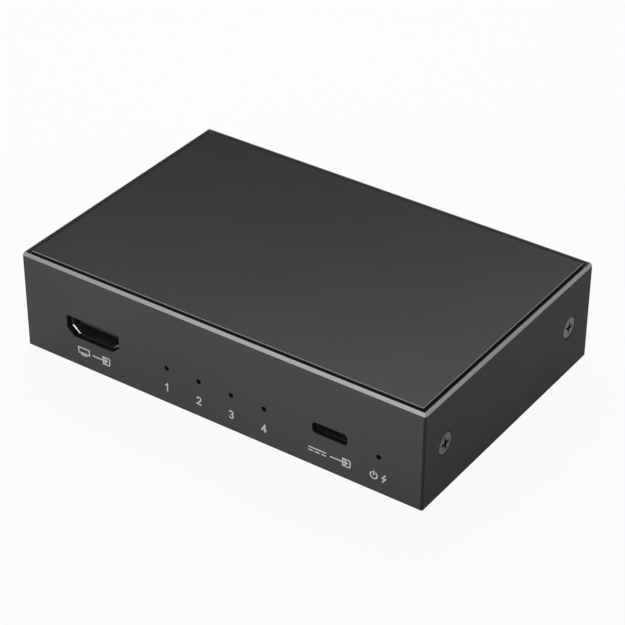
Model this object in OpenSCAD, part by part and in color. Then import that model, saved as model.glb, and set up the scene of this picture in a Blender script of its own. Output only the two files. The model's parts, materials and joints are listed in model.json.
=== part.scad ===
// Four-way video splitter in a metal case. A tray with a bevelled rim takes a drop-in cover with a
// shadow gap round it. Inside, a circuit board on standoffs carries one video input and a power inlet
// at the front, four video outputs at the back, and the lights and chips between them.
// Millimetres, +Z up, front towards -Y, right towards +X, origin on the ground under the middle.

/* [Case] */
// Width of the case, left to right
case_w = 110; // [100:0.5:140]
// Depth of the case, front to back
case_d = 71.7; // [68:0.1:100]
// Height of the case from its underside to its rim
case_h = 25.5; // [23.5:0.1:40]
// Thickness of the side walls, which take the screw heads
wall = 1.5; // [1.4:0.05:2.5]
// Thickness of the front and back walls
face_t = 1.2; // [1:0.05:2]
// Thickness of the case floor
floor_t = 1.5; // [1:0.1:3]
// Radius of the upright edges at the corners
corner_r = 0.5; // [0.2:0.1:3]
// Width of the bright bevel on the rim
bevel_w = 0.4; // [0.3:0.05:0.6]
// Height of the bright bevel on the rim
bevel_h = 0.8; // [0.3:0.05:1.2]
// Flat that the bevel leaves on top of the rim
rim_land = 0.1; // [0.05:0.05:0.4]

/* [Cover] */
// Thickness of the raised panel, from the seat up
panel_t = 1; // [0.6:0.1:2]
// Thickness of the seat that lies on the ledge of the walls
seat_t = 0.8; // [0.5:0.1:1.5]
// Width of the shadow gap round the panel
reveal = 1.1; // [0.4:0.05:1.5]
// How far the panel stands above the rim
cover_proud = 0.1; // [0:0.05:0.4]
// Bevel on the upper edges of the panel
panel_edge = 0.15; // [0.05:0.05:0.4]
// Clearance between the seat and the lip round it
cover_clear = 0.1; // [0.05:0.05:0.3]
// Thickness of the side flanges
flange_t = 1.2; // [0.8:0.1:2]
// Gap between a flange and the side wall
flange_gap = 0.2; // [0.1:0.05:0.5]
// Metal left round the nuts in a flange
flange_margin = 1.6; // [1:0.1:3]

/* [Cover screws] */
// Distance of the screws from the front and back faces
screw_inset = 9; // [8:0.5:20]
// Height of the screws above the underside of the case
screw_h = 12.4; // [12:0.1:16]
// Thread diameter
screw_d = 3; // [2.4:0.1:3.5]
// Length of a screw, its head included
screw_l = 5; // [4.8:0.1:8]
// Diameter of the countersunk head
head_d = 5.2; // [4.5:0.1:5.6]
// How far a head lies below the side face
head_sink = 0.3; // [0.1:0.05:0.4]
// Clearance round a screw, all along it
screw_clear = 0.1; // [0.05:0.01:0.2]
// Width of an arm of the cross recess
recess_w = 0.7; // [0.4:0.1:1]
// Length of the cross recess, end to end
recess_l = 2.8; // [2:0.1:3.6]
// Depth of the cross recess
recess_depth = 0.9; // [0.4:0.1:1.2]
// Diameter of a clinch nut
nut_d = 6.2; // [5.6:0.1:7]
// Height of a clinch nut inside the flange
nut_h = 1.6; // [1:0.1:2.5]
// Diameter of the nut's shank in the flange
nut_shank_d = 4.2; // [4:0.1:5]

/* [Feet] */
// Diameter of a rubber foot
foot_d = 9; // [6:0.5:12]
// Height of the case above the ground
foot_h = 1; // [0.5:0.1:4]
// Depth of the seat of a foot in the case floor
foot_seat = 0.3; // [0.1:0.1:0.6]
// Clearance round a foot in its seat
foot_clear = 0.1; // [0.05:0.05:0.3]
// Bevel round the ground face of a foot
foot_edge = 0.3; // [0.1:0.1:0.45]
// Distance of the feet from the outer faces
foot_inset = 9; // [8:0.5:12]

/* [Circuit board] */
// Thickness of the board
board_t = 1.6; // [1:0.1:2]
// Gap between the board and the side walls
board_gap_w = 2.5; // [2:0.1:4]
// Gap between the board and the front and back walls
board_gap_d = 1; // [0.5:0.1:1.5]
// Radius of the board's corners
board_r = 1.5; // [0.5:0.1:3]
// Distance of the screws from the board's sides
board_hole_inset_w = 5.5; // [4:0.1:7]
// Distance of the screws from the board's front and back edges
board_hole_inset_d = 16.5; // [15:0.1:20]
// Thread diameter of the board screws
board_screw_d = 2.5; // [2:0.1:3]
// Length of a board screw under its head
board_screw_l = 5; // [4:0.1:5.5]
// Diameter of a board screw's head
board_head_d = 4.8; // [4:0.1:5.4]
// Height of a board screw's head
board_head_h = 1.6; // [1.2:0.1:2]
// Diameter of a standoff
standoff_d = 5.4; // [4.6:0.1:6]
// Diameter of the standoff's shank in the floor
standoff_shank_d = 4; // [3.6:0.1:4.4]
// Depth that a standoff's blind thread has to spare
standoff_spare = 0.5; // [0.2:0.1:1]
// Clearance of a shank pressed into its hole
press_clear = 0.02; // [0.01:0.01:0.05]

/* [Ports] */
// Height of the middle of the ports above the underside of the case
port_h = 10.3; // [9:0.1:12]
// Gap between the wall and the front of a socket
port_gap = 0.1; // [0.05:0.05:0.5]
// Extra half width of a video cut-out over the opening behind it
port_margin_w = 0.7; // [0.3:0.05:1]
// Extra half height of a video cut-out over the opening behind it
port_margin_h = 0.375; // [0.2:0.025:0.8]

/* [Video sockets] */
// Distance of the input from the left face
input_inset = 20.1; // [18:0.1:24]
// Distance of the outermost outputs from the side faces
output_inset = 19; // [16:0.1:22]
// Width of the opening at its top
open_w = 14; // [13.8:0.05:14.4]
// Width of the opening at its floor
open_bottom_w = 9.8; // [9:0.1:11]
// Height of the opening
open_h = 4.55; // [4.45:0.05:4.8]
// Height of the sloping part of its sides
open_slope_h = 1.7; // [1.2:0.1:2.2]
// Thickness of the metal shell
shell_t = 0.4; // [0.25:0.05:0.6]
// Depth of the lead-in bevel on the front edge of the sloping sides
lead_in = 0.2; // [0.1:0.05:0.5]
// Share of the thickness of the shell that the lead-in takes away
lead_share = 0.6; // [0.4:0.05:0.95]
// Length of the shell
shell_l = 11.5; // [10:0.1:13]
// Width of the tongue
tongue_w = 11.4; // [10.5:0.1:12]
// Thickness of the tongue
tongue_t = 1.7; // [1.4:0.1:1.9]
// Height of the tongue above the floor of the opening
tongue_rise = 1.6; // [1.2:0.1:1.8]
// Length of the tongue
tongue_l = 5.5; // [4:0.1:7]
// Distance of the tongue's tip behind the front of the shell
tongue_recess = 1.3; // [0.8:0.1:2]
// Taper at the tip of the tongue
tongue_taper = 0.35; // [0.1:0.05:0.5]
// Clearance between the insulator and the shell
insulator_fit = 0.05; // [0.02:0.01:0.1]
// How far the insulator stands out behind the shell
insulator_rear = 0.3; // [0.1:0.1:1]
// Contacts on the upper side of the tongue
upper_contacts = 10; // [6:1:10]
// Contacts on the lower side of the tongue
lower_contacts = 9; // [5:1:9]
// Distance between neighbouring contacts of a row
contact_pitch = 1; // [0.8:0.05:1.05]
// Width of a contact
contact_w = 0.45; // [0.2:0.05:0.6]
// Thickness of a contact
contact_t = 0.12; // [0.05:0.01:0.2]
// Distance of the contacts behind the tip of the tongue
contact_tip = 0.6; // [0.5:0.1:1.5]
// Width of a leg that holds the shell on the board
leg_w = 1; // [0.6:0.1:1.6]
// How far a leg reaches below the board
leg_tail = 0.8; // [0.4:0.1:1.5]
// How far a leg overlaps the upright side of the shell
leg_root = 0.6; // [0.3:0.1:1]
// Distance of the first legs behind the front of the shell
leg_first = 3; // [2.5:0.1:5]
// Distance of the second legs behind the front of the shell
leg_second = 9; // [7:0.1:9.3]
// Clearance round a leg in the board
slot_clear = 0.15; // [0.05:0.05:0.3]
// Width of a spring finger in the shell's top
spring_w = 1.6; // [1:0.1:2.5]
// Length of a spring finger
spring_l = 4; // [2.5:0.1:5]
// Width of the slit round a spring finger
spring_slit = 0.35; // [0.2:0.05:0.6]
// Distance of the spring fingers from the middle
spring_x = 3.4; // [2.5:0.1:4.5]
// Distance of the spring fingers behind the front of the shell
spring_start = 1.8; // [1:0.1:3]

/* [Solder tails] */
// Width of a solder tail
tail_w = 0.25; // [0.15:0.05:0.35]
// Thickness of a solder tail
tail_t = 0.2; // [0.1:0.05:0.3]
// Height of a solder tail above the board
tail_rise = 1.2; // [0.8:0.1:2]
// Length of a tail's foot on the board
tail_foot = 1; // [0.6:0.1:1.5]
// Distance between the tails of a video socket
tail_pitch = 0.5; // [0.45:0.01:0.55]

/* [Power inlet] */
// Distance of the inlet from the right face
inlet_inset = 24; // [20:0.1:28]
// Width of the inlet's opening
inlet_open_w = 8.34; // [8.2:0.02:8.6]
// Height of the inlet's opening
inlet_open_h = 2.56; // [2.5:0.02:2.8]
// Thickness of the inlet's shell
inlet_shell_t = 0.3; // [0.2:0.05:0.4]
// Length of the inlet's shell
inlet_l = 7.3; // [6.5:0.1:9]
// Extra half width of the case slot over the opening
inlet_margin_w = 0.5; // [0.2:0.01:0.8]
// Extra half height of the case slot over the opening
inlet_margin_h = 0.17; // [0.1:0.01:0.5]
// Radius of the corners of the case slot
inlet_cut_r = 1.1; // [0.5:0.1:1.3]
// Width of the inlet's tongue
inlet_tongue_w = 6.7; // [6:0.05:7]
// Thickness of the inlet's tongue
inlet_tongue_t = 0.7; // [0.6:0.05:0.9]
// Distance of its tip behind the front of the shell
inlet_tongue_recess = 0.8; // [0.4:0.1:1.2]
// Length of the block that closes the back of the shell
inlet_block_l = 2.4; // [1.5:0.1:3]
// How far the insulator stands out behind the shell
inlet_rear = 0.9; // [0.5:0.1:1.5]
// Width of the foot that carries the inlet
inlet_foot_w = 7; // [5:0.1:7.4]
// Distance of that foot behind the front of the shell
inlet_foot_start = 1.6; // [1.2:0.1:3]
// Contacts on each side of the inlet's tongue
inlet_contacts = 6; // [3:1:6]
// Distance between neighbouring contacts
inlet_pitch = 1; // [0.8:0.05:1.05]
// Width of an inlet contact
inlet_contact_w = 0.4; // [0.2:0.05:0.6]
// Thickness of an inlet contact
inlet_contact_t = 0.08; // [0.05:0.01:0.12]
// Thickness of a leg of the inlet's shell
inlet_leg_t = 0.35; // [0.3:0.05:0.5]
// How far a leg stands out beside the shell
inlet_leg_out = 0.15; // [0.05:0.05:0.2]
// Distance of the first legs behind the front of the shell
inlet_leg_first = 2.2; // [1.8:0.1:3]
// Distance of the second legs behind the front of the shell
inlet_leg_second = 6; // [4.5:0.1:6.2]

/* [Lights] */
// Distance between neighbouring status lights
light_pitch = 9; // [6:0.1:10]
// Height of the lights above the underside of the case
light_h = 9.5; // [9.4:0.1:12]
// Diameter of the light holes
light_hole_d = 1.3; // [0.8:0.1:1.8]
// Distance of the power light from the right face
power_light_inset = 11.3; // [10:0.1:14]
// Diameter of a light
led_d = 2; // [1.6:0.1:2.4]
// Length of a light
led_l = 3.4; // [3:0.1:5]
// Diameter of a light's collar
led_collar_d = 2.4; // [2.2:0.1:2.9]
// Thickness of a light's collar
led_collar_t = 0.6; // [0.4:0.1:1]
// Gap between the wall and the tip of a light
light_gap = 0.25; // [0.1:0.05:0.6]
// Thickness of a lead wire
lead_w = 0.4; // [0.3:0.05:0.5]
// Distance between the two leads of a light
lead_pitch = 1; // [0.9:0.05:1.4]
// Length of a lead behind the light, up to its bend
lead_bend = 1.2; // [1:0.1:2]
// How far a lead reaches below the board
lead_tail = 0.8; // [0.4:0.1:1.5]
// Diameter of a lead's hole in the board
lead_hole_d = 0.8; // [0.75:0.05:0.85]

/* [Chips] */
// Width of the splitter chip
chip_w = 14; // [10:0.5:16]
// Height of the splitter chip
chip_t = 1.4; // [0.8:0.1:2]
// Distance of the splitter chip from the middle of the board, towards the front
chip_shift = 2; // [0:0.5:4]
// Thickness of the thermal pad
pad_t = 0.5; // [0.2:0.1:1]
// Width of the heat sink
sink_w = 26; // [18:0.5:28]
// Height of the heat sink
sink_h = 9; // [5:0.5:12]
// Thickness of the heat sink's base
sink_base = 2; // [1:0.1:3]
// Number of fins
fin_count = 8; // [5:1:9]
// Thickness of a fin
fin_t = 1; // [0.6:0.1:1.4]
// Width of the control chip
control_w = 7; // [5:0.5:9]
// Height of the control chip
control_t = 1; // [0.6:0.1:1.6]
// Distance of the control chip from the board's left edge
control_inset = 25; // [22:0.5:28]
// Diameter of the mark at a chip's first corner
mark_d = 1; // [0.6:0.1:1.2]
// Depth of that mark
mark_depth = 0.1; // [0.05:0.05:0.2]
// Length of the clock crystal's can
crystal_l = 10; // [8:0.1:11]
// Width of the clock crystal's can
crystal_w = 4; // [3:0.1:4.6]
// Height of the clock crystal
crystal_t = 3.4; // [2.5:0.1:4]
// Rim round the foot of the clock crystal
crystal_rim = 0.4; // [0.2:0.1:0.6]
// Gap between the control chip and the crystal
crystal_gap = 4; // [2:0.5:6]
// Length of a protection chip
guard_l = 2.5; // [2:0.1:3]
// Width of a protection chip
guard_w = 1; // [0.8:0.1:1.4]
// Height of a protection chip
guard_t = 0.6; // [0.4:0.1:0.8]
// Distance between the two protection chips of a socket
guard_pitch = 5; // [4:0.1:7]
// Gap between the solder tails and the protection chips
guard_gap = 1; // [0.5:0.1:2]
// Length of a bypass capacitor
bypass_l = 1; // [0.8:0.1:1.4]
// Width of a bypass capacitor
bypass_w = 0.5; // [0.4:0.05:0.8]
// Gap between the splitter chip and the bypass capacitors
bypass_gap = 1; // [0.5:0.1:2]
// Distance between neighbouring bypass capacitors
bypass_pitch = 2.5; // [2:0.1:3]
// Bypass capacitors on each side of the chip
bypass_count = 4; // [2:1:4]

/* [Power parts] */
// Width of a power coil
coil_w = 5.2; // [4:0.1:6]
// Height of a power coil
coil_t = 3; // [2:0.1:4]
// Radius of a coil's corners
coil_r = 0.9; // [0.4:0.1:1.5]
// Distance between the two power coils
coil_pitch = 8; // [7:0.1:9]
// Gap between the inlet's solder tails and the coils
coil_gap = 3; // [2:0.1:4]
// Width of a voltage regulator
reg_w = 5; // [4:0.1:6]
// Depth of a voltage regulator
reg_d = 4; // [3:0.1:5]
// Height of a voltage regulator
reg_t = 1.5; // [1:0.1:2]
// Gap between the coils and the regulators
reg_gap = 2; // [1:0.1:3]
// Diameter of a power capacitor
cap_d = 6.3; // [5:0.1:7]
// Height of a power capacitor
cap_h = 5.8; // [5:0.1:8]
// Thickness of a power capacitor's base
cap_base = 0.8; // [0.5:0.1:1.2]
// Extra width of the base over the can
cap_margin = 0.3; // [0.2:0.1:0.5]
// Height of the groove round the can, above its base
groove_h = 0.9; // [0.7:0.1:1.5]
// Depth and half height of that groove
groove_r = 0.3; // [0.2:0.05:0.4]
// Distance between the two power capacitors
cap_pitch = 8; // [7.8:0.1:9]
// Gap between the regulators and the power capacitors
cap_gap = 1.5; // [1:0.1:3]
// Length of a light's resistor
resistor_l = 1.6; // [1.2:0.1:2]
// Width of a light's resistor
resistor_w = 0.8; // [0.6:0.1:1.2]
// Height of a light's resistor
resistor_t = 0.5; // [0.3:0.05:0.6]
// Gap between a light's leads and its resistor
resistor_gap = 1; // [0.6:0.1:2]

/* [Hidden] */
$fn = 48;
// Overrun of every cutting shape past the face that it cuts
cut = 0.5;
// Least radius of a corner that follows another one inside it
least_r = 0.1;
// Number of outputs, each with its own status light
output_count = 4;
// Turn of each cover screw's recess, as the screwdriver left it
screw_turns = [84, 10, 35, 62];
// Turn of each board screw's recess
board_screw_turns = [20, 50, 5, 70];

// Heights above the ground
case_z = foot_h;
floor_z = case_z + floor_t;
rim_z = case_z + case_h;
ledge_z = rim_z + cover_proud - panel_t - seat_t;
screw_z = case_z + screw_h;
port_z = case_z + port_h;
open_z = port_z - open_h / 2;
board_top = open_z - shell_t;
board_z = board_top - board_t;
light_z = case_z + light_h;
chip_top = board_top + chip_t;
sink_z = chip_top + pad_t;

// Case and cover outlines
lip_t = bevel_w + rim_land;
lip_r = max(corner_r - lip_t, least_r);
seat_r = max(lip_r - cover_clear, least_r);
in_w = case_w - 2 * wall;
in_d = case_d - 2 * face_t;
seat_w = case_w - 2 * (lip_t + cover_clear);
seat_d = case_d - 2 * (lip_t + cover_clear);
panel_w = case_w - 2 * (lip_t + reveal);
panel_d = case_d - 2 * (lip_t + reveal);
screw_y = case_d / 2 - screw_inset;
head_h = (head_d - screw_d) / 2;
flange_x = in_w / 2 - flange_gap;
flange_l = 2 * screw_y + nut_d + 2 * flange_margin;
flange_z = screw_z - nut_d / 2 - flange_margin;

// Board and what stands on it
board_w = in_w - 2 * board_gap_w;
board_d = in_d - 2 * board_gap_d;
board_hole_x = board_w / 2 - board_hole_inset_w;
board_hole_y = board_d / 2 - board_hole_inset_d;
socket_y = face_t + port_gap;
input_x = -case_w / 2 + input_inset;
inlet_x = case_w / 2 - inlet_inset;
power_light_x = case_w / 2 - power_light_inset;
light_y = face_t + light_gap;
lead_y = light_y + led_l + lead_bend - lead_w / 2;
inlet_floor = board_top - port_z;
inlet_half_h = inlet_open_h / 2 + inlet_shell_t;
inlet_leg_x = inlet_open_w / 2 + inlet_shell_t + inlet_leg_out - inlet_leg_t / 2;
tail_y = socket_y + shell_l + insulator_rear;
inlet_tail_y = socket_y + inlet_l + inlet_rear;
coil_y = -case_d / 2 + inlet_tail_y + tail_foot + coil_gap + coil_w / 2;
reg_y = coil_y + coil_w / 2 + reg_gap + reg_d / 2;
cap_y = reg_y + reg_d / 2 + cap_gap + cap_d / 2 + cap_margin;
control_x = -board_w / 2 + control_inset;

// Places along the row of outputs and the row of status lights, counted from 1
row_middle = (output_count + 1) / 2;
output_pitch = (case_w - 2 * output_inset) / (output_count - 1);
function output_x(i) = (i - row_middle) * output_pitch;
function status_x(i) = (i - row_middle) * light_pitch;
light_places = [for (i = [1:output_count]) status_x(i), power_light_x];

// Flat outlines

// Rectangle with rounded corners, centred
module rounded_rect(w, d, r) {
    square([w - 2 * r, d], center = true);
    square([w, d - 2 * r], center = true);
    for (x = [-1, 1], y = [-1, 1])
        translate([x * (w / 2 - r), y * (d / 2 - r)]) circle(r);
}

// Slot with round ends, centred
module stadium(w, h) {
    square([w - h, h], center = true);
    for (x = [-1, 1])
        translate([x * (w - h) / 2, 0]) circle(h / 2);
}

// Video opening with its sides set out by t all round, its floor at zero
module video_outline(t) {
    run = (open_w - open_bottom_w) / 2;
    slope = norm([run, open_slope_h]);
    side_x = open_w / 2 + t;
    side_z = open_slope_h - t * (slope - open_slope_h) / run;
    floor_x = open_bottom_w / 2 + t * (slope - run) / open_slope_h;
    polygon([
        [-side_x, open_h + t], [-side_x, side_z], [-floor_x, -t],
        [floor_x, -t], [side_x, side_z], [side_x, open_h + t]
    ]);
}

// Cut-out of the case wall in front of a video opening
module video_cutout() {
    side_x = open_w / 2 + port_margin_w;
    floor_x = open_bottom_w / 2 + port_margin_w;
    low = -port_margin_h;
    high = open_h + port_margin_h;
    polygon([
        [-side_x, high], [-side_x, low + open_slope_h], [-floor_x, low],
        [floor_x, low], [side_x, low + open_slope_h], [side_x, high]
    ]);
}

// Ways to carry an outline and to place a piece

// Upright outline (x, z) carried along +Y
module along_y(l) {
    translate([0, l, 0]) rotate([90, 0, 0]) linear_extrude(l) children();
}

// Side outline (y, z) carried along X, centred
module along_x(w) {
    rotate([90, 0, 90]) linear_extrude(w, center = true) children();
}

// Ports count their depth, +Y, from the outer face of the wall inwards
module at_input() {
    translate([input_x, -case_d / 2, open_z]) children();
}

module at_output(i) {
    translate([output_x(i), case_d / 2, open_z]) rotate(180) children();
}

module at_inlet() {
    translate([inlet_x, -case_d / 2, port_z]) children();
}

module at_light(x) {
    translate([x, -case_d / 2, light_z]) children();
}

// Every cover screw, its depth +Z counted from the outer face of the side wall inwards
module at_cover_screws() {
    for (i = [0:3]) {
        side = i < 2 ? 1 : -1;
        end = i % 2 == 0 ? -1 : 1;
        translate([side * case_w / 2, end * screw_y, screw_z]) rotate([0, -90 * side, 0]) {
            $turn = screw_turns[i];
            children();
        }
    }
}

// Every board screw, on the underside of the board
module at_board_screws() {
    for (i = [0:3]) {
        side = i < 2 ? 1 : -1;
        end = i % 2 == 0 ? -1 : 1;
        translate([side * board_hole_x, end * board_hole_y, board_z]) {
            $turn = board_screw_turns[i];
            children();
        }
    }
}

module at_feet() {
    for (x = [-1, 1], y = [-1, 1])
        translate([x * (case_w / 2 - foot_inset), y * (case_d / 2 - foot_inset), 0]) children();
}

// Cross recess, cut downwards from zero
module cross_recess(turn) {
    for (a = [0, 90])
        rotate(turn + a)
            translate([-recess_l / 2, -recess_w / 2, -recess_depth])
                cube([recess_l, recess_w, recess_depth + cut]);
}

// Case and cover

// Wedge that cuts the bevel along one edge of length l, its edge on the Y axis
module bevel_wedge(l, w, h) {
    over = cut * h / w;
    rotate([90, 0, 0])
        linear_extrude(l + 2 * cut, center = true)
            polygon([[-w - cut, over], [cut, over], [cut, -h - over]]);
}

// Bevels on the four upper edges of a plate of the given outline
module edge_bevels(w, d, z, bevel_across, bevel_down) {
    for (turn = [0, 90, 180, 270]) {
        half = turn % 180 == 0 ? w / 2 : d / 2;
        run = turn % 180 == 0 ? d : w;
        rotate(turn) translate([half, 0, z]) bevel_wedge(run, bevel_across, bevel_down);
    }
}

// Cuts that carry the rim's bevel round the upright corners as a cone
module corner_bevels() {
    side = corner_r + cut;
    if (corner_r > bevel_w)
        for (x = [-1, 1], y = [-1, 1])
            translate([x * (case_w / 2 - corner_r), y * (case_d / 2 - corner_r), rim_z - bevel_h])
                difference() {
                    translate([min(x, 0) * side, min(y, 0) * side, 0])
                        cube([side, side, bevel_h + cut]);
                    cylinder(r1 = corner_r, r2 = corner_r - bevel_w, h = bevel_h);
                }
}

module case_body() {
    color("#4a4b4e")
    difference() {
        translate([0, 0, case_z]) linear_extrude(case_h) rounded_rect(case_w, case_d, corner_r);
        // Inside of the tray, and the ledge that the cover lies on
        translate([-in_w / 2, -in_d / 2, floor_z]) cube([in_w, in_d, case_h]);
        translate([0, 0, ledge_z]) linear_extrude(case_h)
            rounded_rect(case_w - 2 * lip_t, case_d - 2 * lip_t, lip_r);
        edge_bevels(case_w, case_d, rim_z, bevel_w, bevel_h);
        corner_bevels();
        // Ports and lights
        at_input() translate([0, -cut, 0]) along_y(face_t + 2 * cut) video_cutout();
        for (i = [1:output_count])
            at_output(i) translate([0, -cut, 0]) along_y(face_t + 2 * cut) video_cutout();
        at_inlet() translate([0, -cut, 0]) along_y(face_t + 2 * cut)
            rounded_rect(inlet_open_w + 2 * inlet_margin_w, inlet_open_h + 2 * inlet_margin_h, inlet_cut_r);
        for (x = light_places)
            at_light(x) rotate([-90, 0, 0]) translate([0, 0, -cut])
                cylinder(d = light_hole_d, h = face_t + 2 * cut);
        // Countersunk holes of the cover screws
        at_cover_screws() {
            translate([0, 0, -cut]) cylinder(d = screw_d + 2 * screw_clear, h = wall + 2 * cut);
            translate([0, 0, -cut])
                cylinder(d1 = head_d + 2 * (screw_clear + head_sink + cut),
                         d2 = screw_d + 2 * screw_clear, h = head_h + head_sink + cut);
        }
        // Seats of the feet and holes of the standoffs
        at_feet() cylinder(d = foot_d + 2 * foot_clear, h = case_z + foot_seat);
        at_board_screws() translate([0, 0, case_z - board_z - cut])
            cylinder(d = standoff_shank_d + 2 * press_clear, h = floor_t + 2 * cut);
    }
}

module top_cover() {
    color("#48494b")
    difference() {
        union() {
            translate([0, 0, ledge_z]) linear_extrude(seat_t) rounded_rect(seat_w, seat_d, seat_r);
            translate([-panel_w / 2, -panel_d / 2, ledge_z]) cube([panel_w, panel_d, seat_t + panel_t]);
            for (side = [-1, 1])
                translate([side * (flange_x - flange_t / 2) - flange_t / 2, -flange_l / 2, flange_z])
                    cube([flange_t, flange_l, ledge_z + seat_t - flange_z]);
        }
        edge_bevels(panel_w, panel_d, ledge_z + seat_t + panel_t, panel_edge, panel_edge);
        at_cover_screws() translate([0, 0, wall])
            cylinder(d = nut_shank_d + 2 * press_clear, h = flange_gap + flange_t + cut);
    }
}

module cover_screws() {
    color("#77787a")
    at_cover_screws() translate([0, 0, head_sink]) difference() {
        union() {
            cylinder(d1 = head_d, d2 = screw_d, h = head_h);
            cylinder(d = screw_d, h = screw_l);
        }
        mirror([0, 0, 1]) cross_recess($turn);
    }
}

module clinch_nuts() {
    color("#b9bcc0")
    at_cover_screws() translate([0, 0, wall + flange_gap]) difference() {
        union() {
            cylinder(d = nut_shank_d, h = flange_t);
            translate([0, 0, flange_t]) cylinder(d = nut_d, h = nut_h);
        }
        translate([0, 0, -cut]) cylinder(d = screw_d + 2 * screw_clear, h = flange_t + nut_h + 2 * cut);
    }
}

module rubber_feet() {
    color("#202022")
    at_feet() {
        cylinder(d1 = foot_d - 2 * foot_edge, d2 = foot_d, h = foot_edge);
        translate([0, 0, foot_edge]) cylinder(d = foot_d, h = case_z + foot_seat - foot_edge);
    }
}

// Circuit board and its fixings

// Slots for the four legs of a video shell
module video_leg_slots() {
    for (x = [-1, 1], y = [leg_first, leg_second])
        translate([x * (open_w + shell_t) / 2, socket_y + y, -shell_t - board_t / 2])
            cube([shell_t + 2 * slot_clear, leg_w + 2 * slot_clear, board_t + 2 * cut], center = true);
}

// Slots for the four legs of the power inlet's shell
module inlet_leg_slots() {
    for (x = [-1, 1], y = [inlet_leg_first, inlet_leg_second])
        translate([x * inlet_leg_x, socket_y + y, inlet_floor - board_t / 2])
            cube([inlet_leg_t + 2 * slot_clear, leg_w + 2 * slot_clear, board_t + 2 * cut], center = true);
}

module circuit_board() {
    color("#1d5c34")
    difference() {
        translate([0, 0, board_z]) linear_extrude(board_t) rounded_rect(board_w, board_d, board_r);
        at_board_screws() translate([0, 0, -cut])
            cylinder(d = board_screw_d + 2 * screw_clear, h = board_t + 2 * cut);
        at_input() video_leg_slots();
        for (i = [1:output_count]) at_output(i) video_leg_slots();
        at_inlet() inlet_leg_slots();
        for (x = light_places, lead = [-1, 1])
            translate([x + lead * lead_pitch / 2, lead_y - case_d / 2, board_z - cut])
                cylinder(d = lead_hole_d, h = board_t + 2 * cut);
    }
}

module board_standoffs() {
    color("#c3c5c8")
    at_board_screws() mirror([0, 0, 1]) difference() {
        union() {
            cylinder(d = standoff_d, h = board_z - floor_z);
            cylinder(d = standoff_shank_d, h = board_z - case_z);
        }
        translate([0, 0, -cut])
            cylinder(d = board_screw_d + 2 * screw_clear,
                     h = board_screw_l - board_t + standoff_spare + cut);
    }
}

module board_screws() {
    color("#9a9da1")
    at_board_screws() translate([0, 0, board_t]) difference() {
        union() {
            translate([0, 0, -board_screw_l])
                cylinder(d = board_screw_d, h = board_screw_l + board_head_h / 2);
            cylinder(d = board_head_d, h = board_head_h / 2);
            translate([0, 0, board_head_h / 2])
                cylinder(d1 = board_head_d, d2 = board_head_d - board_head_h, h = board_head_h / 2);
        }
        translate([0, 0, board_head_h]) cross_recess($turn);
    }
}

// Video sockets

// Slit that frees a spring finger in the top of the shell
module spring_cut() {
    difference() {
        translate([-spring_w / 2 - spring_slit, 0, -cut])
            cube([spring_w + 2 * spring_slit, spring_l + spring_slit, shell_t + 2 * cut]);
        translate([-spring_w / 2, -cut, -2 * cut])
            cube([spring_w, spring_l + cut, shell_t + 4 * cut]);
    }
}

// Lead-in bevel along the front edge of the right sloping side
module lead_in_cut() {
    run = (open_w - open_bottom_w) / 2;
    slope = norm([run, open_slope_h]);
    across = shell_t * lead_share;
    over = cut * lead_in / across;
    translate([open_bottom_w / 2, 0, 0]) rotate([0, -atan2(open_slope_h, run), 0])
        translate([slope / 2, 0, 0]) along_x(slope)
            polygon([[-over, -across - cut], [lead_in + over, cut], [-over, cut]]);
}

module video_shell() {
    color("#c9cacc")
    translate([0, socket_y, 0]) {
        difference() {
            along_y(shell_l) video_outline(shell_t);
            translate([0, -cut, 0]) along_y(shell_l + 2 * cut) video_outline(0);
            for (x = [-1, 1])
                translate([x * spring_x, spring_start, open_h]) spring_cut();
            lead_in_cut();
            mirror([1, 0, 0]) lead_in_cut();
        }
        leg_z = -shell_t - board_t - leg_tail;
        for (x = [-1, 1], y = [leg_first, leg_second])
            translate([x * (open_w + shell_t) / 2 - shell_t / 2, y - leg_w / 2, leg_z])
                cube([shell_t, leg_w, open_slope_h + leg_root - leg_z]);
    }
}

module video_insulator() {
    block_y = tongue_recess + tongue_l;
    root = insulator_rear;
    color("#1c1c1e")
    translate([0, socket_y, 0]) {
        translate([0, block_y, 0])
            along_y(shell_l + insulator_rear - block_y) video_outline(-insulator_fit);
        translate([0, tongue_recess, tongue_rise]) along_x(tongue_w) polygon([
            [0, tongue_taper], [tongue_taper, 0], [tongue_l + root, 0],
            [tongue_l + root, tongue_t], [tongue_taper, tongue_t], [0, tongue_t - tongue_taper]
        ]);
    }
}

// One solder tail, its back on the insulator and its foot on the board
module solder_tail() {
    along_x(tail_w) polygon([
        [0, 0], [tail_foot, 0], [tail_foot, tail_t], [tail_t, tail_t], [tail_t, tail_rise], [0, tail_rise]
    ]);
}

// Row of contact strips on one face of a tongue
module contact_row(count, pitch, w, l, t) {
    for (i = [0:count - 1])
        translate([(i - (count - 1) / 2) * pitch - w / 2, 0, 0]) cube([w, l, t]);
}

module video_contacts() {
    strip_l = tongue_l - contact_tip;
    strip_y = socket_y + tongue_recess + contact_tip;
    tails = upper_contacts + lower_contacts;
    color("#c9a24b") {
        translate([0, strip_y, tongue_rise + tongue_t])
            contact_row(upper_contacts, contact_pitch, contact_w, strip_l, contact_t);
        translate([0, strip_y, tongue_rise - contact_t])
            contact_row(lower_contacts, contact_pitch, contact_w, strip_l, contact_t);
        for (i = [0:tails - 1])
            translate([(i - (tails - 1) / 2) * tail_pitch, tail_y, -shell_t]) solder_tail();
    }
}

module input_shell() { at_input() video_shell(); }
module input_insulator() { at_input() video_insulator(); }
module input_contacts() { at_input() video_contacts(); }
module output_shell(i) { at_output(i) video_shell(); }
module output_insulator(i) { at_output(i) video_insulator(); }
module output_contacts(i) { at_output(i) video_contacts(); }

// Power inlet, with its height counted from the middle of the opening

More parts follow.
